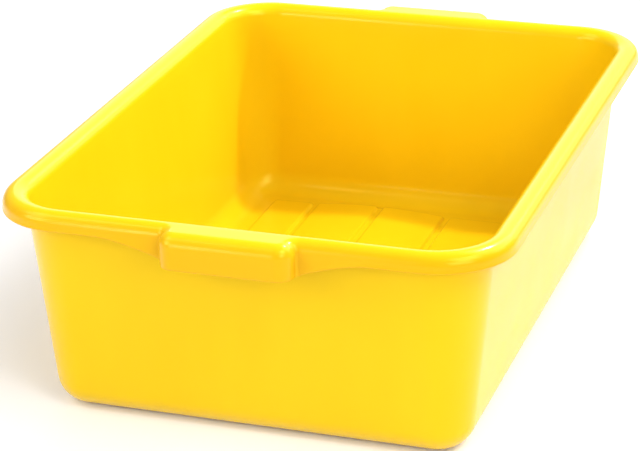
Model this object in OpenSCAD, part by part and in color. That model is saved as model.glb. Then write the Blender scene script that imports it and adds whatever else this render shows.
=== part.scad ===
// Deep one-piece moulded tray: tapered walls, rolled rim, a hand grip at each end.
// Millimetres, +Z up. The origin is the centre of the base, on the surface the tray stands on.
// X is the short side, Y is the long side, and the grips are at the -Y and +Y ends.

/* [Rim] */
// Width over the rim's lip, side to side
rim_width = 388; // [376:1:400]
// Length over the rim's lip, end to end, grips not counted
rim_length = 514; // [500:1:530]
// Height from the base to the top of the rim
height = 172.5; // [150:0.5:200]
// Outer corner radius of the rim, seen from above
rim_corner_r = 56; // [50:1:62]
// How far the lip hangs down below the top of the rim
lip_depth = 13.6; // [12.6:0.2:18]
// How far the lip leans out at its lower edge
lip_flare = 1; // [0:0.1:2]
// Thickness of the hanging lip
lip_t = 2.8; // [2:0.1:3.5]
// Thickness at the crest of the rolled rim
crest_t = 3; // [2:0.1:4]

/* [Body] */
// Outer width of the tapered body, its side walls extended up to the rim height
body_top_width = 357.6; // [350:0.1:362]
// Outer length of the tapered body, its end walls extended up to the rim height
body_top_length = 486.8; // [480:0.1:490]
// Outer width of the tapered body, its side walls extended down to the base
body_base_width = 321.6; // [310:0.1:330]
// Outer length of the tapered body, its end walls extended down to the base
body_base_length = 452.4; // [440:0.1:462]
// Wall thickness
wall_t = 3.2; // [2.5:0.1:4]
// Outer radius of a vertical corner at rim height
corner_r_top = 46; // [40:1:50]
// Outer radius of a vertical corner, extended down to the base
corner_r_base = 26; // [25:1:32]
// Outer radius of the curve from the walls into the base
base_curve_r = 22.5; // [18:0.5:23]

/* [Floor] */
// Height of the raised floor pads above the plate between them
pad_h = 2.4; // [1:0.1:4]
// Width of the raised part of the floor
pads_width = 262; // [240:1:268]
// Length of the raised part of the floor
pads_length = 388; // [360:1:398]
// Centre-to-centre distance of the floor grooves
groove_pitch = 61; // [50:1:64]
// Width of a floor groove at its bottom
groove_w = 4; // [3:0.5:8]
// Width of the sloping edge of a floor pad
pad_slope = 2.2; // [1:0.1:4]
// Depth of the pocket under each floor pad
under_recess = 2; // [0.5:0.1:2.4]

/* [Grips] */
// Width of a grip along the end of the tray
grip_width = 100; // [80:1:130]
// How far a grip stands out beyond the rim's lip
grip_reach = 15; // [12:0.5:20]
// How far the front face of a grip reaches below the top of the rim
grip_depth = 26; // [22:0.5:32]
// Radius of a grip's vertical corners
grip_corner_r = 12; // [6:0.5:14]
// Radius of a grip's top edge
grip_edge_r = 10; // [3:0.5:11]
// Length of rim beside a grip over which the lip sweeps down to it
sweep_len = 50; // [30:1:55]
// How much deeper the lip is where it meets a grip
sweep_drop = 12.5; // [8:0.5:16]

/* [Hidden] */

YELLOW = [0.99, 0.84, 0.05];
fillet_steps = 6;      // steps around the base curve
corner_steps = 10;     // steps around a vertical corner
arch_steps = 4;        // steps in each half of the rim's arch
crest_f = 0.47;        // crest of the arch, as a share of the way from the inner wall to the lip
arch_in_h = 8.7;       // height of the inner half of the arch
arch_out_h = 9.4;      // height of the outer half of the arch
join_z = height - 12;  // height of the level joint between the walls and the rim

half_w = rim_width / 2;
half_l = rim_length / 2;
draft = atan(((body_top_width - body_base_width) / 2 + (body_top_length - body_base_length) / 2) / 2 / height);
tangent_z = base_curve_r * (1 - sin(draft));
grip_y = half_l + grip_reach;

// Half width, half length and corner radius of the outer wall face at height z
function wall_x(z) = (body_base_width + (body_top_width - body_base_width) * z / height) / 2;
function wall_y(z) = (body_base_length + (body_top_length - body_base_length) * z / height) / 2;
function wall_r(z) = corner_r_base + (corner_r_top - corner_r_base) * z / height;

// A level is [half width, half length, corner radius, height]: one closed ring around the tray.
// Base curve, out: the skin that faces outwards; in: the skin that faces the inside.
function out_inset(a) = base_curve_r * (cos(draft) - cos(a));
function in_inset(a) = base_curve_r * cos(draft) - (base_curve_r - wall_t) * cos(a);
function inset_level(i, z) = [wall_x(tangent_z) - i, wall_y(tangent_z) - i, wall_r(tangent_z) - i, z];
function curve_angle(k) = -90 + (90 - draft) * k / fillet_steps;
function wall_out() = concat(
    [for (k = [0 : fillet_steps]) let (a = curve_angle(k)) inset_level(out_inset(a), base_curve_r * (1 + sin(a)))],
    [[wall_x(join_z), wall_y(join_z), wall_r(join_z), join_z]]);
function wall_in() = concat(
    [for (k = [0 : fillet_steps]) let (a = curve_angle(k)) inset_level(in_inset(a), base_curve_r + (base_curve_r - wall_t) * sin(a))],
    [[wall_x(join_z) - wall_t, wall_y(join_z) - wall_t, wall_r(join_z) - wall_t, join_z]]);

// Rim level at share f of the way from the inner wall face to the lip, moved out by o, at height z
function lip_out(z) = lip_flare * pow(max(0, (height - arch_out_h - z) / (lip_depth - arch_out_h)), 2);
function rim_level(f, o, z) = [
    (1 - f) * (wall_x(z) - wall_t) + f * (half_w + lip_out(max(z, height - lip_depth))) + o,
    (1 - f) * (wall_y(z) - wall_t) + f * (half_l + lip_out(max(z, height - lip_depth))) + o,
    (1 - f) * (wall_r(z) - wall_t) + f * rim_corner_r + o,
    z];
// Top skin and under skin of the rim, from the inner wall over the arch to a lip edge that is d deep
function rim_top(d) = concat(
    [rim_level(0, 0, join_z)],
    [for (k = [0 : arch_steps]) let (a = 90 * k / arch_steps)
        rim_level(crest_f * (1 - cos(a)), 0, height - arch_in_h * (1 - sin(a)))],
    [for (k = [1 : arch_steps]) let (a = 90 - 90 * k / arch_steps)
        rim_level(crest_f + (1 - crest_f) * cos(a), 0, height - arch_out_h * (1 - sin(a)))],
    [rim_level(1, 0, height - d + 1.2), rim_level(1, -0.6, height - d)]);
function rim_under(d) = concat(
    [rim_level(0, wall_t, join_z)],
    [for (k = [0 : arch_steps]) let (a = 90 * k / arch_steps)
        rim_level(crest_f * (1 - cos(a)), wall_t * cos(a), height - crest_t - (arch_in_h - crest_t + 1) * (1 - sin(a)))],
    [for (k = [1 : arch_steps]) let (a = 90 - 90 * k / arch_steps)
        rim_level(crest_f + (1 - crest_f) * cos(a), -lip_t * cos(a), height - crest_t - (arch_out_h - crest_t + 1) * (1 - sin(a)))],
    [rim_level(1, -lip_t, height - d + 1.2), rim_level(1, 0.6 - lip_t, height - d)]);

// Depth of the lip at distance x from the middle of an end: it sweeps down to meet the grip
function lip_d(x) = lip_depth + sweep_drop * pow(max(0, (grip_width / 2 + sweep_len - abs(x)) / sweep_len), 1.5);

// Points of one level: around a corner, or along an end at a given x
function corner_point(l, sx, sy, a) = [sx * (l[0] - l[2]) + l[2] * cos(a), sy * (l[1] - l[2]) + l[2] * sin(a), l[3]];
function end_point(l, x, sy) = [x, sy * l[1], l[3]];

// Closed solid between an outer and an inner sheet of points, each a list of stations of equal length
module skin(sheet_a, sheet_b) {
    n = len(sheet_a);
    m = len(sheet_a[0]);
    pts = concat([for (s = sheet_a) for (p = s) p], [for (s = sheet_b) for (p = s) p]);
    b = n * m;
    faces = concat(
        [for (i = [0 : n - 2]) for (j = [0 : m - 2]) each [
            [i * m + j, (i + 1) * m + j, (i + 1) * m + j + 1], [i * m + j, (i + 1) * m + j + 1, i * m + j + 1]]],
        [for (i = [0 : n - 2]) for (j = [0 : m - 2]) each [
            [b + i * m + j, b + (i + 1) * m + j + 1, b + (i + 1) * m + j], [b + i * m + j, b + i * m + j + 1, b + (i + 1) * m + j + 1]]],
        [for (i = [0 : n - 2]) each [
            [i * m, b + i * m, b + (i + 1) * m], [i * m, b + (i + 1) * m, (i + 1) * m]]],
        [for (i = [0 : n - 2]) let (q = m - 1) each [
            [i * m + q, (i + 1) * m + q, b + (i + 1) * m + q], [i * m + q, b + (i + 1) * m + q, b + i * m + q]]],
        [for (j = [0 : m - 2]) each [
            [j, j + 1, b + j + 1], [j, b + j + 1, b + j]]],
        [for (j = [0 : m - 2]) let (q = (n - 1) * m) each [
            [q + j, b + q + j + 1, q + j + 1], [q + j, b + q + j, b + q + j + 1]]]);
    polyhedron(points = pts, faces = faces, convexity = 6);
}

// Straight wall with its length of base curve, along the left side or the front end
module side_wall() {
    skin([for (e = [1, -1]) [for (l = wall_in()) [-l[0], e * (l[1] - l[2]), l[3]]]],
         [for (e = [1, -1]) [for (l = wall_out()) [-l[0], e * (l[1] - l[2]), l[3]]]]);
}
module end_wall() {
    skin([for (e = [-1, 1]) [for (l = wall_in()) [e * (l[0] - l[2]), -l[1], l[3]]]],
         [for (e = [-1, 1]) [for (l = wall_out()) [e * (l[0] - l[2]), -l[1], l[3]]]]);
}
// Front left vertical corner with its share of base curve
module wall_corner() {
    skin([for (k = [0 : corner_steps]) [for (l = wall_in()) corner_point(l, -1, -1, 180 + 90 * k / corner_steps)]],
         [for (k = [0 : corner_steps]) [for (l = wall_out()) corner_point(l, -1, -1, 180 + 90 * k / corner_steps)]]);
}

// Rim along the left side, around the front left corner, and from that corner to the front grip
function rim_sheet(top, d) = top ? rim_top(d) : rim_under(d);
module side_rim() {
    sheets = [for (top = [true, false]) [for (e = [-1, 1]) [for (l = rim_sheet(top, lip_depth)) [-l[0], e * (l[1] - l[2]), l[3]]]]];
    skin(sheets[0], sheets[1]);
}
module rim_corner() {
    sheets = [for (top = [true, false]) [for (k = [0 : corner_steps])
        [for (l = rim_sheet(top, lip_depth)) corner_point(l, -1, -1, 270 - 90 * k / corner_steps)]]];
    skin(sheets[1], sheets[0]);
}
module end_rim() {
    sheets = [for (top = [true, false]) concat(
        [for (u = [0, 0.1, 0.22, 0.36, 0.52, 0.72, 1]) let (x = grip_width / 2 + sweep_len * u)
            [for (l = rim_sheet(top, lip_d(x))) end_point(l, -x, -1)]],
        [[for (l = rim_sheet(top, lip_depth)) corner_point(l, -1, -1, 270)]])];
    skin(sheets[1], sheets[0]);
}

// Grip: a deck level with the rim, a front face that hangs down from it and a cheek at each side
function grip_x() = let (h = grip_width / 2, r = grip_corner_r) concat(
    [for (a = [90 : -12.5 : 15]) -h + r - r * sin(a)], [-h + r, 0, h - r], [for (a = [15 : 12.5 : 90]) h - r + r * sin(a)]);
// Distance of the front face from the tray's middle, and fall of the deck near its two sides
function face_y(x) = let (e = max(0, abs(x) - grip_width / 2 + grip_corner_r), r = grip_corner_r) grip_y - r + sqrt(max(0, r * r - e * e));
function side_fall(x) = let (e = max(0, abs(x) - grip_width / 2 + grip_edge_r), r = grip_edge_r) r - sqrt(max(0, r * r - e * e));
// Height of the rim's own arch at distance y from the tray's middle, beyond its crest
function crest_y() = rim_level(crest_f, 0, height)[1];
function arch_z(y) = let (u = min(1, (y - crest_y()) / (half_l - crest_y()))) height - arch_out_h * (1 - sqrt(max(0, 1 - u * u)));
function deck_z(x, y) = max(arch_z(y), height - side_fall(x));
deck_steps = 6;
function grip_station(x, top) =
    let (t = top ? 0 : 1, d = rim_top(lip_depth), u = rim_under(lip_depth), y1 = face_y(x) - grip_edge_r, y0 = crest_y())
    concat(
        [for (k = [0 : arch_steps + 1]) end_point((top ? d : u)[k], x, -1)],
        [for (k = [1 : deck_steps]) let (y = y0 + (y1 - y0) * k / deck_steps) [x, -y, deck_z(x, y) - t * crest_t]],
        [for (k = [1 : 3]) let (a = 90 - 30 * k, r = grip_edge_r, q = grip_edge_r - lip_t)
            top ? [x, -(y1 + r * cos(a)), deck_z(x, y1) - r * (1 - sin(a))]
                : [x, -(y1 + q * cos(a)), deck_z(x, y1) - crest_t - q * (1 - sin(a))]],
        [top ? [x, -(y1 + grip_edge_r), height - grip_depth] : [x, -(y1 + grip_edge_r - lip_t), height - grip_depth]]);
module end_grip() {
    cheek_y = half_l - lip_t;
    skin([for (x = grip_x()) grip_station(x, true)], [for (x = grip_x()) grip_station(x, false)]);
    for (s = [-1, 1])
        translate([s > 0 ? grip_width / 2 - lip_t : -grip_width / 2, -(grip_y - grip_corner_r), height - grip_depth])
            cube([lip_t, grip_y - grip_corner_r - cheek_y, grip_depth - grip_edge_r - crest_t - 0.5]);
}

// Plate with rounded corners, lying on z = 0
module rounded_plate(w, l, r, h) {
    linear_extrude(h) union() {
        square([w - 2 * r, l], center = true);
        square([w, l - 2 * r], center = true);
        for (sx = [-1, 1], sy = [-1, 1]) translate([sx * (w / 2 - r), sy * (l / 2 - r)]) circle(r = r, $fn = 48);
    }
}
// One raised floor pad between x0 and x1, with a sloping edge all round
module floor_pad(x0, x1) {
    translate([(x0 + x1) / 2, 0, wall_t]) hull() {
        rounded_plate(x1 - x0, pads_length, 5, 0.01);
        translate([0, 0, pad_h - 0.01]) rounded_plate(x1 - x0 - 2 * pad_slope, pads_length - 2 * pad_slope, 5 - pad_slope, 0.01);
    }
}

module floor_panel() color(YELLOW) {
    base = inset_level(out_inset(-90), 0);
    cuts = [for (k = [-1.5, -0.5, 0.5, 1.5]) k * groove_pitch];
    edges = concat([-pads_width / 2], [for (c = cuts) each [c - groove_w / 2, c + groove_w / 2]], [pads_width / 2]);
    difference() {
        union() {
            rounded_plate(2 * base[0], 2 * base[1], base[2], wall_t);
            for (k = [0 : 4]) floor_pad(edges[2 * k], edges[2 * k + 1]);
        }
        for (k = [0 : 4]) let (x0 = edges[2 * k] + pad_slope, x1 = edges[2 * k + 1] - pad_slope)
            translate([(x0 + x1) / 2, 0, -1]) rounded_plate(x1 - x0, pads_length - 2 * pad_slope, 5 - pad_slope, 1 + under_recess);
    }
}

module left_wall() color(YELLOW) side_wall();
module right_wall() color(YELLOW) mirror([1, 0, 0]) side_wall();
module front_wall() color(YELLOW) end_wall();
module rear_wall() color(YELLOW) mirror([0, 1, 0]) end_wall();

module front_left_corner() color(YELLOW) wall_corner();
module front_right_corner() color(YELLOW) mirror([1, 0, 0]) wall_corner();
module rear_left_corner() color(YELLOW) mirror([0, 1, 0]) wall_corner();
module rear_right_corner() color(YELLOW) mirror([1, 0, 0]) mirror([0, 1, 0]) wall_corner();

module left_rim() color(YELLOW) side_rim();
module right_rim() color(YELLOW) mirror([1, 0, 0]) side_rim();
module front_left_rim() color(YELLOW) end_rim();
module front_right_rim() color(YELLOW) mirror([1, 0, 0]) end_rim();
module rear_left_rim() color(YELLOW) mirror([0, 1, 0]) end_rim();
module rear_right_rim() color(YELLOW) mirror([1, 0, 0]) mirror([0, 1, 0]) end_rim();

module front_left_rim_corner() color(YELLOW) rim_corner();
module front_right_rim_corner() color(YELLOW) mirror([1, 0, 0]) rim_corner();
module rear_left_rim_corner() color(YELLOW) mirror([0, 1, 0]) rim_corner();
module rear_right_rim_corner() color(YELLOW) mirror([1, 0, 0]) mirror([0, 1, 0]) rim_corner();

module front_grip() color(YELLOW) end_grip();
module rear_grip() color(YELLOW) mirror([0, 1, 0]) end_grip();

floor_panel();
left_wall();
right_wall();
front_wall();
rear_wall();
front_left_corner();
front_right_corner();
rear_left_corner();
rear_right_corner();
left_rim();
right_rim();
front_left_rim();
front_right_rim();
rear_left_rim();
rear_right_rim();
front_left_rim_corner();
front_right_rim_corner();
rear_left_rim_corner();
rear_right_rim_corner();
front_grip();
rear_grip();
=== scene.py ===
import bpy
import math
import numpy as np
from mathutils import Matrix, Vector


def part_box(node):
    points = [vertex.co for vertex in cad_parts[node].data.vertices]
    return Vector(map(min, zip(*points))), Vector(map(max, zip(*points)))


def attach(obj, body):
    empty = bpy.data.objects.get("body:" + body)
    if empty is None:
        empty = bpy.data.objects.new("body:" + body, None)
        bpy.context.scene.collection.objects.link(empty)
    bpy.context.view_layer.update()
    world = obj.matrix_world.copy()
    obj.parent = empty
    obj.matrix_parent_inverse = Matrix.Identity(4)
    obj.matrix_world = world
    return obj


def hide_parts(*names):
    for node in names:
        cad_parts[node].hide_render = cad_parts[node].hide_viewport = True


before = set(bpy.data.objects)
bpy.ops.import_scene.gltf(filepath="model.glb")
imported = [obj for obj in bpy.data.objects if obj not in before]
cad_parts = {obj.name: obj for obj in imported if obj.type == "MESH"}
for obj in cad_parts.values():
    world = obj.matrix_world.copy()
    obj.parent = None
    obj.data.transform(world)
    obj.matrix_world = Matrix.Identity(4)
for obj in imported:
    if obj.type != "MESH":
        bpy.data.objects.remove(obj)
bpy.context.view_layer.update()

# ------------------------------------------------------------------------------------------------
# Camera first: it stands at the photograph's viewing angle. Metres, in the CAD frame.
# ------------------------------------------------------------------------------------------------
CAM_POS = (0.565123, -1.681032, 0.829851)
CAM_AZ, CAM_EL, CAM_ROLL = 0.33471, 0.40004, 0.02698
CAM_F, CAM_CX, CAM_CY = 2395.91, 321.808, 218.600   # in pixels of a 640 x 451 picture


def make_camera():
    fwd = Vector((-math.sin(CAM_AZ) * math.cos(CAM_EL), math.cos(CAM_AZ) * math.cos(CAM_EL), -math.sin(CAM_EL)))
    right = Vector((math.cos(CAM_AZ), math.sin(CAM_AZ), 0))
    down = fwd.cross(right)
    r2 = math.cos(CAM_ROLL) * right + math.sin(CAM_ROLL) * down
    d2 = -math.sin(CAM_ROLL) * right + math.cos(CAM_ROLL) * down
    data = bpy.data.cameras.new("camera")
    data.sensor_fit = "HORIZONTAL"
    data.sensor_width = 36
    data.lens = CAM_F * 36 / 640
    data.shift_x = (320 - CAM_CX) / 640
    data.shift_y = (CAM_CY - 225.5) / 640
    data.clip_start = 0.05
    data.clip_end = 60
    cam = bpy.data.objects.new("camera", data)
    bpy.context.scene.collection.objects.link(cam)
    m = Matrix.Identity(4)
    for i in range(3):
        m[i][0], m[i][1], m[i][2] = r2[i], -d2[i], -fwd[i]
        m[i][3] = CAM_POS[i]
    cam.matrix_world = m
    bpy.context.scene.camera = cam
    return cam


make_camera()

# ------------------------------------------------------------------------------------------------
# The moulding. Millimetres until the mesh is written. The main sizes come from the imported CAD.
# ------------------------------------------------------------------------------------------------
mm = 1000.0
lo_s, hi_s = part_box("right_rim")
lo_c, hi_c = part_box("front_left_rim_corner")
lo_g, hi_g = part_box("front_grip")
H = round(hi_s.z * mm, 1)                      # top of the rim
FLARE = 0.8                                    # how far the lip leans out at its lower edge
HX = round(hi_s.x * mm - 0.51, 1)              # half width over the lip
HY = round(-lo_c.y * mm - 0.51, 1)             # half length over the lip
GRIP_FACE = round(-lo_g.y * mm, 1)             # distance of a grip's face from the middle
GRIP_HALF = round(hi_g.x * mm, 1)
RIM_R = 56.0
LIP_D, LIP_T, CREST_T = 13.6, 2.8, 3.0
TOP_X, TOP_Y, BASE_X, BASE_Y = 178.8, 243.4, 160.8, 226.2
WALL_T, R_TOP, R_BASE, RB = 3.2, 46.0, 26.0, 22.5
PAD_H, PAD_X, PAD_Y, PITCH, GROOVE_W, PAD_SLOPE, POCKET = 2.4, 131.0, 194.0, 61.0, 4.0, 2.2, 2.0
CREST_F, ARCH_IN, ARCH_OUT = 0.47, 8.7, 9.4
GRIP_D, GRIP_R, GRIP_EDGE, FILLET_R = 26.0, 12.0, 10.0, 2.5
SWEEP_L, SWEEP_D = 50.0, 12.5
DRAFT = math.atan(((TOP_X - BASE_X) + (TOP_Y - BASE_Y)) / 2 / H)
TZ = RB * (1 - math.sin(DRAFT))


def lerp(a, b, t):
    return a + (b - a) * t


def smooth(t):
    t = np.clip(t, 0.0, 1.0)
    return t * t * (3 - 2 * t)


def wall(z):
    """Half width, half length and corner radius of the outer wall face at height z."""
    t = z / H
    return lerp(BASE_X, TOP_X, t), lerp(BASE_Y, TOP_Y, t), lerp(R_BASE, R_TOP, t)


def rim_ring(f, o, z):
    wx, wy, wr = wall(z)
    return ((1 - f) * (wx - WALL_T) + f * HX + o, (1 - f) * (wy - WALL_T) + f * HY + o,
            (1 - f) * (wr - WALL_T) + f * RIM_R + o, z)


def fillet_ring(inset, z):
    wx, wy, wr = wall(TZ)
    return (wx - inset, wy - inset, wr - inset, z)


def in_fillet(a):
    return fillet_ring(RB * math.cos(DRAFT) - (RB - WALL_T) * math.cos(a), RB + (RB - WALL_T) * math.sin(a))


def out_fillet(a):
    return fillet_ring(RB * (math.cos(DRAFT) - math.cos(a)), RB * (1 + math.sin(a)))


class Station:
    """One vertical section through the moulding: where it cuts a ring, and the shape of its lip."""

    def __init__(self, kind, sx, sy, v):
        self.kind, self.sx, self.sy, self.v = kind, sx, sy, v
        crest, lip = rim_ring(CREST_F, 0, H), rim_ring(1, 0, H)
        self.C = self.at(crest)
        self.O = self.C.copy()
        self.L = self.at(lip)
        self.rz = ARCH_OUT
        self.depth = LIP_D
        self.flare = FLARE
        self.edge = 1.0

    def at(self, ring):
        hx, hy, r = ring[:3]
        if self.kind == "e":
            return np.array([self.v, self.sy * hy])
        if self.kind == "s":
            return np.array([self.sx * hx, self.v])
        return np.array([self.sx * (hx - r + r * math.cos(self.v)), self.sy * (hy - r + r * math.sin(self.v))])


LAND_HALF = 30.0      # half length of the crest line that the whole face of a grip is joined to


def grip_stations(sy):
    """Stations round the two sides of one grip: hollow fillet, cheek and round vertical corner."""
    out = []
    h, fy = GRIP_HALF, GRIP_FACE
    cx, cy = h + FILLET_R, HY + FILLET_R            # centre of the hollow vertical fillet beside the grip
    vx, vy = h - GRIP_R, fy - GRIP_R                # centre of the round vertical corner
    crest_y = rim_ring(CREST_F, 0, H)[1]
    path = []                                       # (x of the crest point, O, L, height of the edge curve)
    for k in range(0, 9):                           # hollow fillet
        t = k / 8
        a = math.radians(90 - 90 * t)
        rho = lerp(HY - crest_y, GRIP_EDGE, smooth(t))
        u = np.array([math.cos(a), math.sin(a)])
        c = np.array([cx, cy])
        path.append((cx - 17.3 * (1 - (1 - t) ** 1.35), c - (FILLET_R + rho) * u, c - FILLET_R * u,
                     lerp(ARCH_OUT, GRIP_EDGE, smooth(t))))
    path.append((cx - 17.9, np.array([h - GRIP_EDGE, (cy + vy) / 2]), np.array([h, (cy + vy) / 2]), GRIP_EDGE))
    for k in range(0, 13):                          # round vertical corner
        a = math.radians(90 * k / 12)
        u = np.array([math.cos(a), math.sin(a)])
        c = np.array([vx, vy])
        path.append((lerp(cx - 18.5, LAND_HALF, k / 12), c + (GRIP_R - GRIP_EDGE) * u, c + GRIP_R * u, GRIP_EDGE))
    for x, o, l, rz in path:
        for s in (-1, 1):
            st = Station("e", 0, sy, s * x)
            st.O = np.array([s * o[0], sy * o[1]])
            st.L = np.array([s * l[0], sy * l[1]])
            st.rz, st.depth, st.flare = rz, GRIP_D, 0.0
            out.append(st)
    return out, vx, cx


def end_columns():
    """x of the upright sections across an end: close together at the floor grooves and the grip."""
    xs = set()
    for k in (-1.5, -0.5, 0.5, 1.5):
        for d in (0, 1.2, 2.0, 2.35, 2.75, 3.2, 3.7, 4.3, 5.2):
            xs.add(round(k * PITCH + d, 3))
            xs.add(round(k * PITCH - d, 3))
    for d in (131.0, 130.65, 130.25, 129.8, 129.3, 128.7, 127.8, 132.1):
        xs.add(d)
        xs.add(-d)
    free = np.arange(-126, 126.1, 6.0)
    base = sorted(xs)
    for f in free:
        if min(abs(f - b) for b in base) > 2.6:
            xs.add(round(float(f), 3))
    return sorted(xs)


def side_rows():
    ys = set()
    for d in (194.0, 193.65, 193.25, 192.8, 192.3, 191.7, 190.8, 189.6, 188.0, 195.2, 196.6):
        ys.add(d)
        ys.add(-d)
    for f in np.arange(-184, 184.1, 8.0):
        ys.add(round(float(f), 3))
    return sorted(ys)


COLS, ROWS = end_columns(), side_rows()
ARC = 20


def lip_depth(x):
    e = max(0.0, GRIP_HALF + SWEEP_L - abs(x)) / SWEEP_L
    return LIP_D + SWEEP_D * e ** 1.5


def ring_of_stations():
    """All stations anticlockwise, seen from above, from the front left corner."""
    ring = []
    grips = {sy: grip_stations(sy) for sy in (-1, 1)}

    def end(sy, rising):
        gs, vx, cx = grips[sy]
        row = []
        for x in COLS:
            if LAND_HALF - 0.4 < abs(x) < cx + 0.4:
                continue
            st = Station("e", 0, sy, x)
            if abs(x) < LAND_HALF:
                st.O = np.array([x * vx / LAND_HALF, sy * (GRIP_FACE - GRIP_EDGE)])
                st.L = np.array([x * vx / LAND_HALF, sy * GRIP_FACE])
                st.rz, st.depth, st.flare = GRIP_EDGE, GRIP_D, 0.0
            else:
                st.depth = lip_depth(x)
                st.flare = FLARE * float(smooth((abs(x) - cx) / 25))
            row.append(st)
        row += gs
        row.sort(key=lambda s: s.v if rising else -s.v)
        return row

    def side(sx, rising):
        row = [Station("s", sx, 0, y) for y in ROWS]
        row.sort(key=lambda s: s.v if rising else -s.v)
        return row

    def corner(sx, sy, start):
        row = []
        for k in range(ARC + 1):
            a = math.pi / 2 * k / ARC
            row.append(Station("c", sx, sy, a if start == "x" else math.pi / 2 - a))
        return row

    ring += end(-1, True) + corner(1, -1, "y") + side(1, True) + corner(1, 1, "x")
    ring += end(1, False) + corner(-1, 1, "y") + side(-1, False) + corner(-1, -1, "x")
    return ring


LAND, LIP_STEPS = 0.35, 22


def section(st):
    """Points of one upright section, from the floor's edge over the rim and down to the underside's edge."""
    p = []

    # The fourth value of each point is 1 on the hanging lip and the grips, where the material paints shade
    def add(xy, z, lip=0.0):
        p.append((xy[0], xy[1], z, lip))

    def ring(r):
        add(st.at(r), r[3])

    for k in range(13):
        ring(in_fillet(math.radians(-90) + (math.radians(90) - DRAFT) * k / 12))
    z0 = p[-1][2]
    for k in range(1, 12):
        ring(rim_ring(0, 0, lerp(z0, H - ARCH_IN, k / 11)))
    for k in range(1, 10):
        a = math.radians(90 * k / 9)
        ring(rim_ring(CREST_F * (1 - math.cos(a)), 0, H - ARCH_IN * (1 - math.sin(a))))
    # Over the land and round the outer edge of the rim, or of the grip
    land, span = float(np.linalg.norm(st.O - st.C)), float(np.linalg.norm(st.L - st.O))
    arc = math.pi / 2 * (span + st.rz) / 2
    w = LAND * land
    for k in range(1, LIP_STEPS + 1):
        s = (w + arc) * k / LIP_STEPS
        if s <= w:
            add(lerp(st.C, st.O, s / w), H)
        else:
            a = (s - w) / arc * math.pi / 2
            add(st.O + math.sin(a) * (st.L - st.O), H - st.rz * (1 - math.cos(a)), float(smooth(a / 1.4)))
    # The hanging lip
    u = (st.L - st.O) / span
    zt, zb = H - st.rz, H - st.depth + st.edge
    lean = lambda z: u * st.flare * (max(0.0, zt - z) / (zt - (H - st.depth))) ** 2
    for k in range(1, 6):
        z = lerp(zt, zb, k / 5)
        add(st.L + lean(z), z, 1.0)
    foot = st.L + lean(zb)
    for k in (1, 2, 3):
        a = math.radians(30 * k)
        add(foot - u * st.edge * (1 - math.cos(a)), zb - st.edge * math.sin(a), 1.0)
    for k in (0, 1, 2, 3):
        a = math.radians(90 - 30 * k)
        add(foot - u * (LIP_T - st.edge + st.edge * math.cos(a)), zb - st.edge * math.sin(a), 1.0)
    zu = H - CREST_T - (st.rz - CREST_T + 1)
    for k in range(1, 5):
        z = lerp(zb, zu, k / 4)
        add(st.L + lean(z) - u * LIP_T, z, 1.0)
    # Under skin, back over the land and down to the outer wall
    for k in range(1, 16):
        s = (w + arc) * (1 - k / 15)
        if s <= w:
            add(lerp(st.C, st.O, s / w if w > 0 else 0), H - CREST_T)
        else:
            a = (s - w) / arc * math.pi / 2
            add(st.O + math.sin(a) * (st.L - LIP_T * u - st.O), H - CREST_T - (st.rz - CREST_T + 1) * (1 - math.cos(a)))
    for k in range(1, 8):
        a = math.radians(90 - 90 * k / 7)
        ring(rim_ring(CREST_F * (1 - math.cos(a)), WALL_T * math.cos(a),
                      H - CREST_T - (ARCH_IN - CREST_T + 1) * (1 - math.sin(a))))
    z1, z2 = p[-1][2], out_fillet(-DRAFT)[3]
    for k in range(1, 11):
        ring(rim_ring(0, WALL_T, lerp(z1, z2, k / 11)))
    for k in range(13):
        ring(out_fillet(-DRAFT - (math.radians(90) - DRAFT) * k / 12))
    return p


# Floor: five raised pads with a groove between each two, pockets under them, and a slight crown
PAD_EDGES = [-PAD_X] + [k * PITCH + s * GROOVE_W / 2 for k in (-1.5, -0.5, 0.5, 1.5) for s in (-1, 1)] + [PAD_X]


def pad_distance(x, y):
    """How far a point is inside the nearest pad's foot line; negative outside every pad."""
    best = -1e9
    for k in range(5):
        x0, x1, r = PAD_EDGES[2 * k], PAD_EDGES[2 * k + 1], 5.0
        qx = abs(x - (x0 + x1) / 2) - (x1 - x0) / 2 + r
        qy = abs(y) - PAD_Y + r
        d = r - math.hypot(max(qx, 0), max(qy, 0)) - min(max(qx, qy), 0)
        best = max(best, d)
    return best


def crown(x, y):
    """The floor's slight upward bow, highest a little to the left of the middle and gone at the floor's edge."""
    across = math.cos(math.pi / 2 * min(1.0, abs(x + 33) / 85)) ** 2
    edge = float(smooth((205 - abs(y)) / 16)) * float(smooth((140 - abs(x)) / 26))
    return CROWN * across * edge


CROWN = 4.2


def floor_top(x, y):
    t = min(1.0, max(0.0, pad_distance(x, y) / PAD_SLOPE))
    roll = 1 - (1 - t) ** 2
    return WALL_T + PAD_H * (0.35 * t * t * (3 - 2 * t) + 0.65 * roll) + crown(x, y)


def floor_under(x, y):
    t = min(1.0, max(0.0, (pad_distance(x, y) - PAD_SLOPE) / 1.2))
    return POCKET * t * t * (3 - 2 * t) + crown(x, y)


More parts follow.
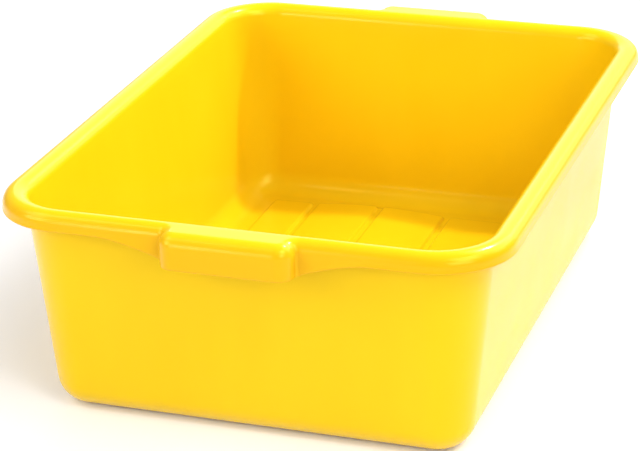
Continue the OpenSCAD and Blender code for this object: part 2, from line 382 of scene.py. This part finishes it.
def build_tub():
    ring = ring_of_stations()
    n = len(ring)
    rows = [section(st) for st in ring]
    m = len(rows[0])
    assert all(len(r) == m for r in rows)
    verts = [pt for r in rows for pt in r]
    faces = []
    for i in range(n):
        j = (i + 1) % n
        for k in range(m - 1):
            faces.append((i * m + k, i * m + k + 1, j * m + k + 1, j * m + k))
    # Where the columns and rows of the floor meet the ring
    end_x = {sy: {round(st.v, 4): i for i, st in enumerate(ring) if st.kind == "e" and st.sy == sy} for sy in (-1, 1)}
    side_y = {sx: {round(st.v, 4): i for i, st in enumerate(ring) if st.kind == "s" and st.sx == sx} for sx in (-1, 1)}
    xs, ys = sorted(end_x[-1]), sorted(side_y[-1])
    assert xs == sorted(end_x[1])
    for level, height, up in ((0, floor_top, True), (m - 1, floor_under, False)):
        grid = {}
        for a, x in enumerate(xs):
            for b, y in enumerate(ys):
                grid[a, b] = len(verts)
                verts.append((x, y, height(x, y), 0.0))

        def face(*idx):
            faces.append(idx if up else tuple(reversed(idx)))

        for a in range(len(xs) - 1):
            for b in range(len(ys) - 1):
                face(grid[a, b], grid[a + 1, b], grid[a + 1, b + 1], grid[a, b + 1])
        last_a, last_b = len(xs) - 1, len(ys) - 1
        for a in range(last_a):
            i, j = end_x[-1][xs[a]] * m + level, end_x[-1][xs[a + 1]] * m + level
            face(i, j, grid[a + 1, 0], grid[a, 0])
            i, j = end_x[1][xs[a]] * m + level, end_x[1][xs[a + 1]] * m + level
            face(grid[a, last_b], grid[a + 1, last_b], j, i)
        for b in range(last_b):
            i, j = side_y[-1][ys[b]] * m + level, side_y[-1][ys[b + 1]] * m + level
            face(i, grid[0, b], grid[0, b + 1], j)
            i, j = side_y[1][ys[b]] * m + level, side_y[1][ys[b + 1]] * m + level
            face(grid[last_a, b], i, j, grid[last_a, b + 1])
        for sx, sy, a, b in ((1, -1, last_a, 0), (1, 1, last_a, last_b), (-1, 1, 0, last_b), (-1, -1, 0, 0)):
            arc = [i for i, st in enumerate(ring) if st.kind == "c" and st.sx == sx and st.sy == sy]
            chain = [(arc[0] - 1) % n] + arc + [(arc[-1] + 1) % n]
            for i, j in zip(chain[:-1], chain[1:]):
                face(i * m + level, j * m + level, grid[a, b])
    mesh = bpy.data.meshes.new("tub_body")
    mesh.from_pydata([(x / mm, y / mm, z / mm) for x, y, z, lip in verts], [], faces)
    mesh.update()
    # This attribute marks the hanging lip and the grip faces for painted shade; the material darkens them there
    lip_shade_mask = mesh.attributes.new("lip_painted_shade", "FLOAT", "POINT")
    lip_shade_mask.data.foreach_set("value", [v[3] for v in verts])
    mesh.polygons.foreach_set("use_smooth", [True] * len(mesh.polygons))
    obj = bpy.data.objects.new("tub_body", mesh)
    bpy.context.scene.collection.objects.link(obj)
    return obj


tub = build_tub()

# ------------------------------------------------------------------------------------------------
# Materials
# ------------------------------------------------------------------------------------------------


def new_material(name):
    mat = bpy.data.materials.new(name)
    mat.use_nodes = True
    nt = mat.node_tree
    nt.nodes.clear()
    out = nt.nodes.new("ShaderNodeOutputMaterial")
    bsdf = nt.nodes.new("ShaderNodeBsdfPrincipled")
    nt.links.new(bsdf.outputs["BSDF"], out.inputs["Surface"])
    return mat, nt, bsdf


def yellow_plastic():
    mat, nt, bsdf = new_material("yellow_plastic")
    N, L = nt.nodes.new, nt.links.new
    tc = N("ShaderNodeTexCoord")

    def noise(scale, detail, rough, stretch=(1, 1, 1)):
        mp = N("ShaderNodeMapping")
        mp.inputs["Scale"].default_value = stretch
        L(tc.outputs["Object"], mp.inputs["Vector"])
        t = N("ShaderNodeTexNoise")
        t.inputs["Scale"].default_value = scale
        t.inputs["Detail"].default_value = detail
        t.inputs["Roughness"].default_value = rough
        L(mp.outputs["Vector"], t.inputs["Vector"])
        return t.outputs["Fac"]

    # Colour: slow clouding of the pigment, with faint flow streaks down the walls
    cloud = noise(9, 3, 0.5)
    streak = noise(30, 2, 0.5, (1, 1, 0.18))
    mix = N("ShaderNodeMix")
    mix.data_type = "FLOAT"
    mix.inputs["Factor"].default_value = 0.4
    L(cloud, mix.inputs[2])
    L(streak, mix.inputs[3])
    ramp = N("ShaderNodeValToRGB")
    ramp.color_ramp.elements[0].position = 0.3
    ramp.color_ramp.elements[0].color = (0.730, 0.466, 0.004, 1)
    ramp.color_ramp.elements[1].position = 0.7
    ramp.color_ramp.elements[1].color = (0.765, 0.496, 0.006, 1)
    L(mix.outputs[0], ramp.inputs["Fac"])
    # The hanging lip and the grips get painted shade: their colour is multiplied a little darker and more orange than
    # the single walls
    lip = N("ShaderNodeAttribute")
    lip.attribute_type = "GEOMETRY"
    lip.attribute_name = "lip_painted_shade"
    lip_shade_mix = N("ShaderNodeMix")
    lip_shade_mix.data_type = "RGBA"
    lip_shade_mix.blend_type = "MULTIPLY"
    lip_shade_mix.inputs[7].default_value = (0.93, 0.77, 0.9, 1)
    L(lip.outputs["Fac"], lip_shade_mix.inputs[0])
    L(ramp.outputs["Color"], lip_shade_mix.inputs[6])
    L(lip_shade_mix.outputs[2], bsdf.inputs["Base Color"])
    # Gloss: a satin moulded finish, a little uneven
    rr = N("ShaderNodeMapRange")
    rr.inputs["From Min"].default_value = 0.3
    rr.inputs["From Max"].default_value = 0.7
    rr.inputs["To Min"].default_value = 0.17
    rr.inputs["To Max"].default_value = 0.25
    L(noise(24, 4, 0.55), rr.inputs["Value"])
    L(rr.outputs["Result"], bsdf.inputs["Roughness"])
    # Surface: fine orange peel over a slow unevenness
    b1 = N("ShaderNodeBump")
    b1.inputs["Strength"].default_value = 0.5
    b1.inputs["Distance"].default_value = 0.0008
    L(noise(14, 0, 0.4), b1.inputs["Height"])
    b2 = N("ShaderNodeBump")
    b2.inputs["Strength"].default_value = 0.5
    b2.inputs["Distance"].default_value = 0.00002
    L(noise(420, 1, 0.5), b2.inputs["Height"])
    L(b1.outputs["Normal"], b2.inputs["Normal"])
    L(b2.outputs["Normal"], bsdf.inputs["Normal"])
    bsdf.inputs["IOR"].default_value = 1.5
    bsdf.inputs["Specular Tint"].default_value = (1.0, 0.82, 0.16, 1)
    return mat


tub.data.materials.append(yellow_plastic())
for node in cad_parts:
    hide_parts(node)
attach(tub, "root")

# ------------------------------------------------------------------------------------------------
# Floor and light
# ------------------------------------------------------------------------------------------------


def make_floor():
    mat, nt, bsdf = new_material("studio_floor")
    bsdf.inputs["Base Color"].default_value = (0.90, 0.90, 0.90, 1)
    bsdf.inputs["Roughness"].default_value = 0.8
    bsdf.inputs["Specular IOR Level"].default_value = 0.1
    mesh = bpy.data.meshes.new("studio_floor")
    s = 12.0
    mesh.from_pydata([(-s, -s, 0), (s, -s, 0), (s, s, 0), (-s, s, 0)], [], [(0, 1, 2, 3)])
    mesh.materials.append(mat)
    obj = bpy.data.objects.new("studio_floor", mesh)
    bpy.context.scene.collection.objects.link(obj)
    obj.location = (0, 0, -0.0003)
    return obj


def area(name, at, look, size, power, colour=(1, 1, 1)):
    data = bpy.data.lights.new(name, "AREA")
    data.shape = "RECTANGLE"
    data.size, data.size_y = size
    data.energy = power
    data.color = colour
    obj = bpy.data.objects.new(name, data)
    bpy.context.scene.collection.objects.link(obj)
    d = Vector(look) - Vector(at)
    obj.matrix_world = Matrix.Translation(at) @ d.to_track_quat("-Z", "Y").to_matrix().to_4x4()
    obj.visible_camera = False
    return obj


def softbox(name, az, el, size, power, dist=2.7):
    """A softbox that faces the tub. Azimuth 0 is in front of the tub (-Y), 90 on its right, 180 behind it."""
    a, e = math.radians(az), math.radians(el)
    at = (dist * math.cos(e) * math.sin(a), -dist * math.cos(e) * math.cos(a), dist * math.sin(e) + 0.1)
    return area(name, at, (0, 0, 0.1), size, power)


make_floor()
LIGHTS = [
    ("box_back_right", 133, 46, (2.8, 2.0), 59, 2.7),
    ("box_right", 60, 48, (1.4, 1.2), 34, 2.7),
    ("box_front_right", 45, 22, (1.4, 1.0), 24, 2.7),
    ("box_front_left", 315, 22, (1.4, 1.0), 27, 2.7),
    ("box_left", 300, 48, (1.4, 1.2), 20, 2.7),
    ("panel_back", 180, 21, (6.0, 2.6), 64, 4.5),
]
for row in LIGHTS:
    softbox(*row)
key = area("key_back_right", (0.72, 1.10, 2.0), (0, 0, 0.1), (0.16, 0.16), 36)
# Light linking: the small key lights the tub and not the floor, because its
# bounce off the floor washes out the right outer wall
receivers = bpy.data.collections.new("key_receivers")
receivers.objects.link(tub)
key.light_linking.receiver_collection = receivers
area("strip_front_left", (-1.03, -2.7, 0.75), (0, 0, 0.1), (0.24, 1.0), 15, (0.48, 0.55, 1.0))
world = bpy.data.worlds.new("studio")
world.use_nodes = True
bg = world.node_tree.nodes["Background"]
bg.inputs["Color"].default_value = (1, 1, 1, 1)
bg.inputs["Strength"].default_value = 0.26
bpy.context.scene.world = world
bpy.context.scene.view_settings.view_transform = "Standard"
bpy.context.scene.view_settings.look = "None"
bpy.context.scene.view_settings.exposure = 0
bpy.context.scene.view_settings.gamma = 1
